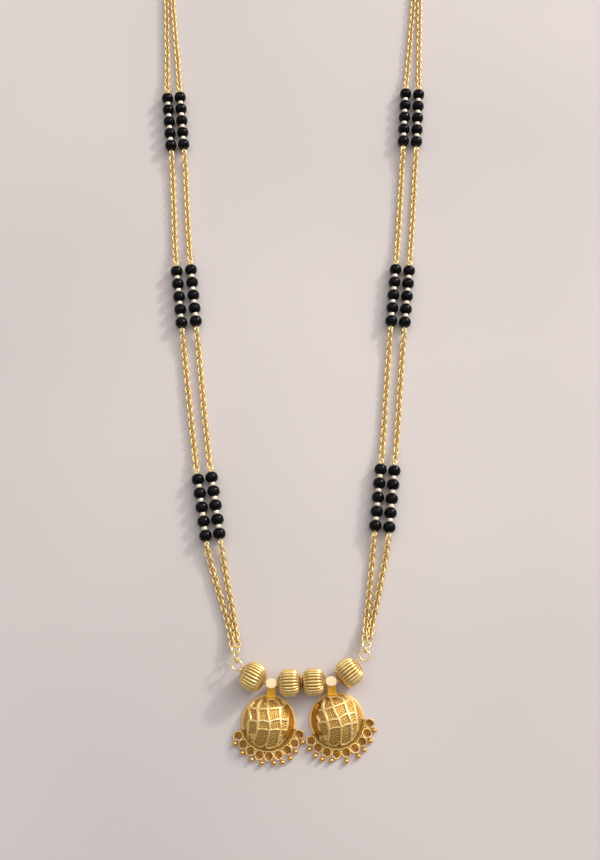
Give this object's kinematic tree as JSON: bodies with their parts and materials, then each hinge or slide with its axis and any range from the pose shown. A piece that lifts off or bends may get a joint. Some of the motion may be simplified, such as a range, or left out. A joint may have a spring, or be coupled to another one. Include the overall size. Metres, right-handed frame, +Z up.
{
  "type": "mangalsutra necklace",
  "caption": "Long double-strand gold chain necklace laid flat, with groups of faceted black beads, fluted gold beads and paired cup pendants with a ball fringe.",
  "frame": {"origin": "on the floor below the middle of the whole laid-out loop", "axes": "+Z up from the floor, +Y from the pendants to the clasp, +X to the right as seen from above"},
  "size_m": [0.0772, 0.2912, 0.0069],
  "materials": {
    "gold_fluted": "polished yellow gold",
    "gold_cup": "bright raised ribs over matte granulated ground",
    "gold_fringe": "polished gold wire and balls",
    "gold_chain": "polished gold wire links",
    "gold_wire": "polished pale gold wire",
    "pale_gold": "bright pale gold",
    "black_glass": "faceted opaque black glass"
  },
  "bodies": {
    "root": {"fluted_bead_1": "gold_fluted", "fluted_bead_2": "gold_fluted", "fluted_bead_3": "gold_fluted", "fluted_bead_4": "gold_fluted", "centre_wire": "gold_wire", "vati_left": "gold_cup", "vati_right": "gold_cup", "drops_left": "gold_fringe", "drops_right": "gold_fringe", "joining_ring_left": "gold_wire", "joining_ring_right": "gold_wire", "gather_ring_left": "gold_wire", "gather_ring_right": "gold_wire", "black_beads_left_1": "black_glass", "black_beads_left_2": "black_glass", "black_beads_left_3": "black_glass", "black_beads_right_1": "black_glass", "black_beads_right_2": "black_glass", "black_beads_right_3": "black_glass", "gold_spacers_left_1": "pale_gold", "gold_spacers_left_2": "pale_gold", "gold_spacers_left_3": "pale_gold", "gold_spacers_right_1": "pale_gold", "gold_spacers_right_2": "pale_gold", "gold_spacers_right_3": "pale_gold", "string_wires_left_1": "gold_wire", "string_wires_left_2": "gold_wire", "string_wires_left_3": "gold_wire", "string_wires_right_1": "gold_wire", "string_wires_right_2": "gold_wire", "string_wires_right_3": "gold_wire", "chain_left_outer": "gold_chain", "chain_left_inner": "gold_chain", "chain_right_inner": "gold_chain", "chain_right_outer": "gold_chain", "neck_chain_left_outer": "gold_chain", "neck_chain_left_inner": "gold_chain", "neck_chain_right_inner": "gold_chain", "neck_chain_right_outer": "gold_chain", "end_ring_left": "gold_wire", "end_ring_right": "gold_wire", "clasp": "gold_wire"}
  },
  "joints": []
}
